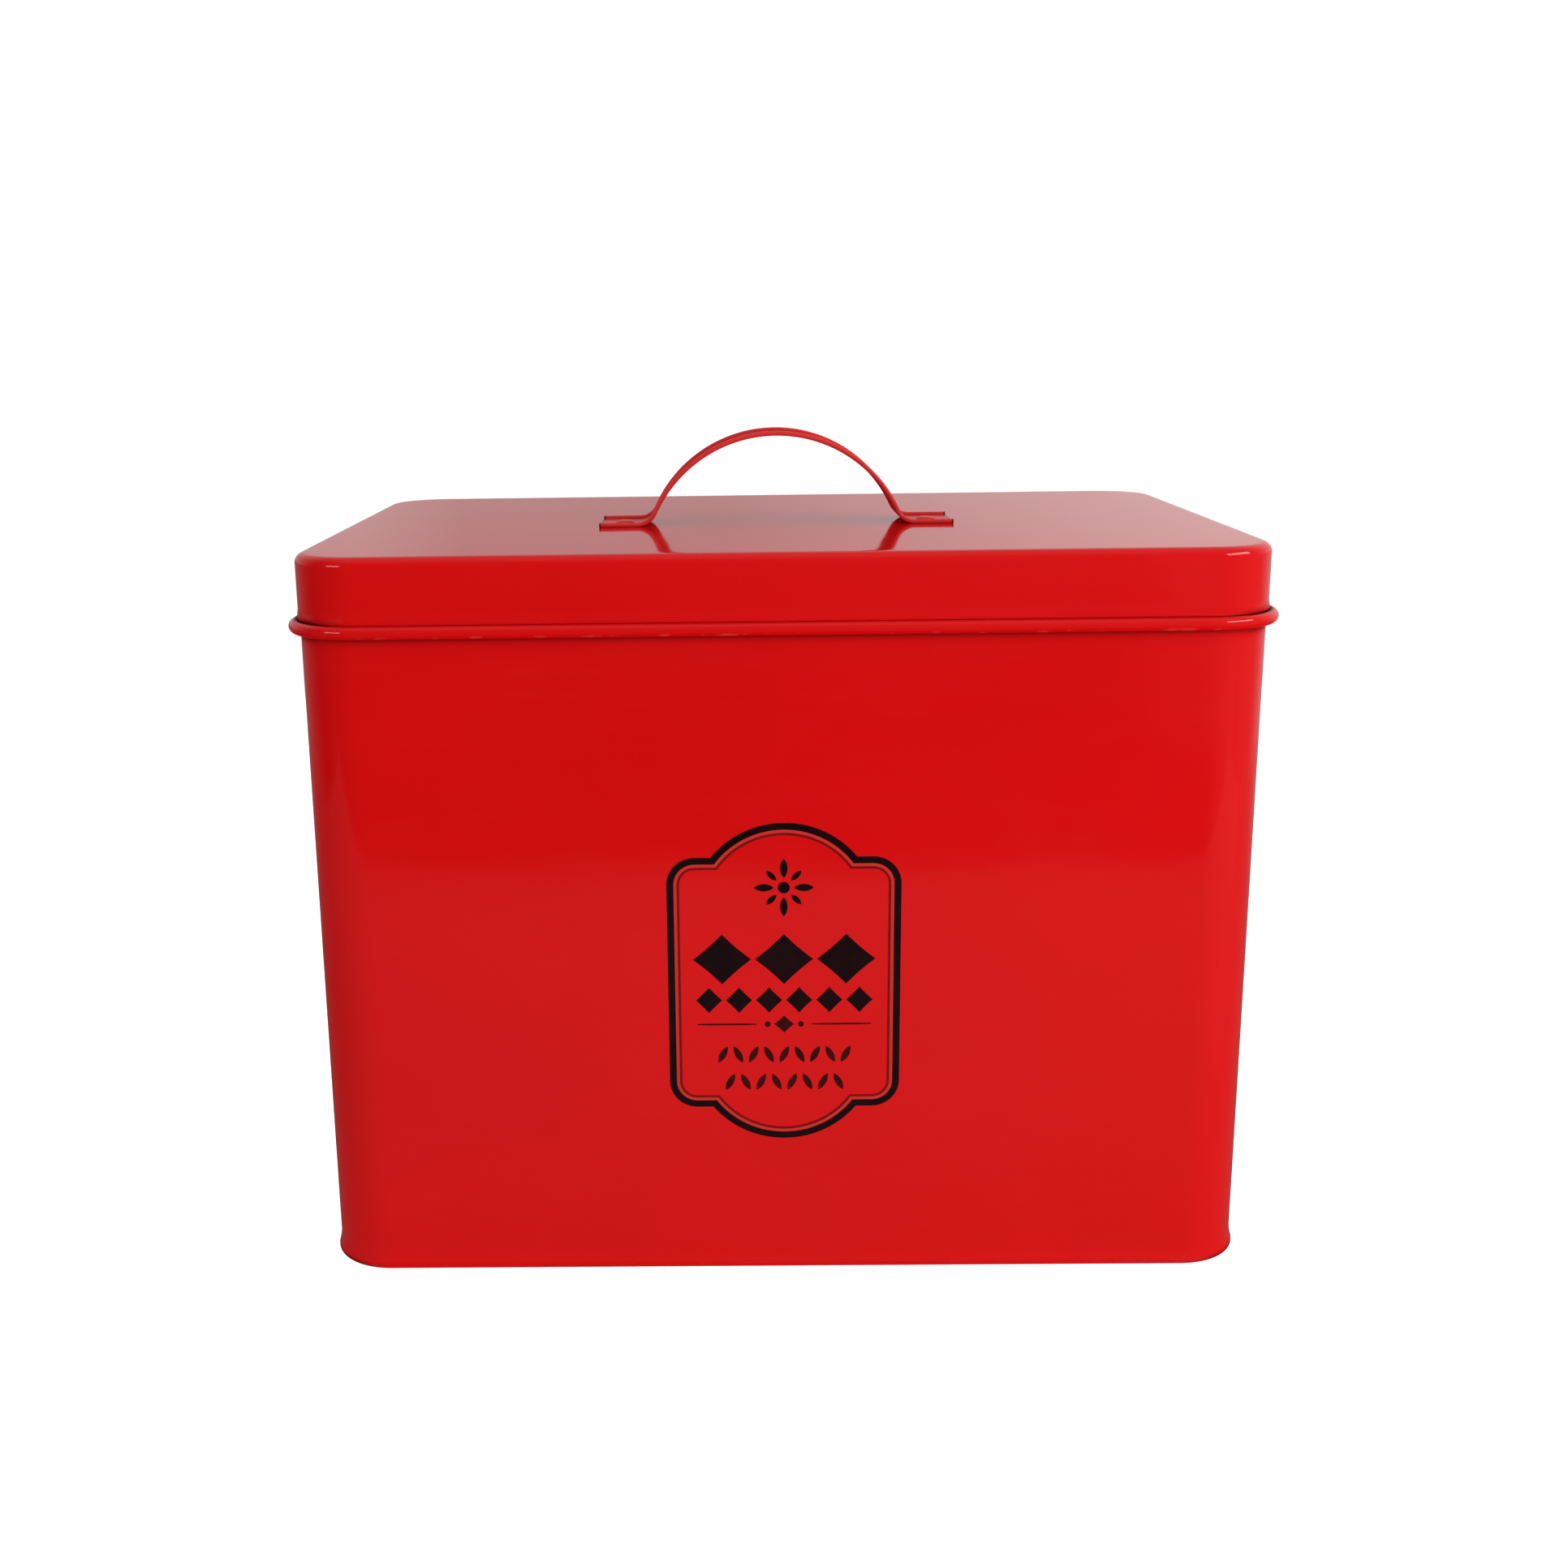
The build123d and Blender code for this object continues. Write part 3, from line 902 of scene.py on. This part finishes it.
def make_floor():
    """A plain pale table top: white to the camera, dimmer where the tin mirrors it, with a painted shadow
    in that mirrored tone close to the tin.
    """
    mesh = bpy.data.meshes.new("floor")
    corners = [(-FLOOR_SIDE, FLOOR_FRONT, 0), (FLOOR_SIDE, FLOOR_FRONT, 0)]
    corners += [(FLOOR_SIDE, FLOOR_BACK, 0), (-FLOOR_SIDE, FLOOR_BACK, 0)]
    mesh.from_pydata(corners, [], [(0, 1, 2, 3)])
    floor = bpy.data.objects.new("floor", mesh)
    bpy.context.scene.collection.objects.link(floor)
    material, tree, shader = new_material("floor_paint")
    path = tree.nodes.new("ShaderNodeLightPath")
    tone = mix_colours(tree, path.outputs["Is Camera Ray"], DARK, (0.9, 0.9, 0.9))
    tree.links.new(tone, shader.inputs["Base Color"])
    shader.inputs["Roughness"].default_value = 0.9
    shader.inputs["Specular IOR Level"].default_value = 0.0
    x, y, _ = place_in_frame(tree)
    # Painted shadow: the mirrored tone darkened close to the tin's front.
    painted_tin_shadow = remap(tree, y, -0.20, -0.08, 1.0, 0.6)
    far = remap(tree, y, 0.1, 0.5, 0.0, 1.0)
    across = remap(tree, x, -0.3, 0.6, 0.115, 0.26)
    mirrored = maths(tree, "MULTIPLY", across, maths(tree, "ADD", painted_tin_shadow, far))
    glow = maths(tree, "MULTIPLY", path.outputs["Is Camera Ray"], 0.75)
    glow = maths(tree, "ADD", glow, maths(tree, "MULTIPLY", path.outputs["Is Diffuse Ray"], AMBIENT))
    glow = maths(tree, "ADD", glow, maths(tree, "MULTIPLY", path.outputs["Is Glossy Ray"], mirrored))
    shader.inputs["Emission Color"].default_value = (1, 1, 1, 1)
    tree.links.new(glow, shader.inputs["Emission Strength"])
    material.cycles.emission_sampling = "NONE"
    mesh.materials.append(material)


def mirrored_room(tree, x, y, z):
    """What the tin mirrors each way: a dim room in front, a pale wall behind, and a ceiling."""
    behind = remap(tree, y, -0.1, 0.6, 0, 1)
    wall = remap(tree, x, 0.0, 0.26, 0.385, 0.66)
    wall = maths(tree, "ADD", wall, remap(tree, x, -0.20, -0.145, 0.11, 0.0))
    near_horizon = remap(tree, z, -0.18, -0.12, 0, 1)
    glow = maths(tree, "MULTIPLY", near_horizon, remap(tree, x, -0.15, 0.25, 0.035, 0.10))
    room = maths(tree, "MAXIMUM", remap(tree, x, 0.25, 1.0, 0.0, 0.18), glow)
    room = maths(tree, "ADD", room, remap(tree, z, 0.3, 0.8, 0.0, 0.05))
    under = maths(tree, "MULTIPLY", behind, remap(tree, x, -0.4, 0.5, 0.17, 0.42))
    tinted_wall = mix_colours(tree, wall, DARK, WALL_TINT)
    sides = mix_colours(tree, behind, room, tinted_wall)
    above = remap(tree, z, -0.02, 0.02, 0, 1)
    sides = mix_colours(tree, above, maths(tree, "MAXIMUM", room, under), sides)
    ceiling = remap(tree, z, 0.72, 1.0, 0, 1)
    return mix_colours(tree, ceiling, sides, CEILING)


def make_world():
    """Soft, even light on the tin, a room for it to mirror, and white for the camera."""
    world = bpy.data.worlds.new("studio")
    bpy.context.scene.world = world
    world.use_nodes = True
    world.cycles.sampling_method = "NONE"
    tree = world.node_tree
    tree.nodes.clear()
    out = tree.nodes.new("ShaderNodeOutputWorld")
    background = tree.nodes.new("ShaderNodeBackground")
    tree.links.new(background.outputs["Background"], out.inputs["Surface"])
    coords = tree.nodes.new("ShaderNodeTexCoord")
    split = tree.nodes.new("ShaderNodeSeparateXYZ")
    tree.links.new(coords.outputs["Generated"], split.inputs["Vector"])
    x, y, z = (split.outputs[axis] for axis in "XYZ")
    mirrored = mirrored_room(tree, x, y, z)
    even = remap(tree, x, -1, 1, 0.74 * AMBIENT, 1.20 * AMBIENT)
    even = maths(tree, "MULTIPLY", even, remap(tree, z, -1, 1, 0.85, 1.28))
    path = tree.nodes.new("ShaderNodeLightPath")
    seen = mix_colours(tree, path.outputs["Is Diffuse Ray"], mirrored, even)
    seen = mix_colours(tree, path.outputs["Is Camera Ray"], seen, WHITE)
    tree.links.new(seen, background.inputs["Color"])


def make_light(name, place_at, size, power, mirrored):
    """A soft rectangular light aimed at the tin's middle."""
    data = bpy.data.lights.new(name, "AREA")
    data.shape = "RECTANGLE"
    data.size, data.size_y = size
    data.energy = power
    light = bpy.data.objects.new(name, data)
    light.location = place_at
    light.rotation_mode = "QUATERNION"
    light.rotation_quaternion = (AIM - Vector(place_at)).to_track_quat("-Z", "Y")
    light.visible_glossy = mirrored
    bpy.context.scene.collection.objects.link(light)


def make_camera():
    """The camera, a little above the lid and looking down at the tin."""
    onward = Vector((math.sin(CAMERA_YAW), math.cos(CAMERA_YAW), 0))
    ahead = math.cos(CAMERA_PITCH) * onward - math.sin(CAMERA_PITCH) * Vector((0, 0, 1))
    sideways = Vector((math.cos(CAMERA_YAW), -math.sin(CAMERA_YAW), 0))
    above = sideways.cross(ahead)
    right = math.cos(CAMERA_ROLL) * sideways + math.sin(CAMERA_ROLL) * above
    up = math.cos(CAMERA_ROLL) * above - math.sin(CAMERA_ROLL) * sideways
    data = bpy.data.cameras.new("camera")
    data.sensor_width = 36
    data.lens = CAMERA_LENS
    data.shift_x = CAMERA_SHIFT
    data.clip_start = 0.01
    camera = bpy.data.objects.new("camera", data)
    turn = Matrix((right, up, -ahead)).transposed().to_4x4()
    camera.matrix_world = Matrix.Translation(CAMERA_PLACE) @ turn
    bpy.context.scene.collection.objects.link(camera)
    bpy.context.scene.camera = camera


make_floor()
make_world()
make_light("key_right", (0.82, -0.575, 0.685), (0.75, 0.30), 3.4, True)
make_light("window_left", (-0.79, -0.83, 0.457), (0.45, 0.20), 1.15, True)
make_light("fill_right", (0.45, -0.57, 0.10), (0.50, 0.20), 1.55, False)
make_camera()
bpy.context.scene.view_settings.view_transform = "Standard"
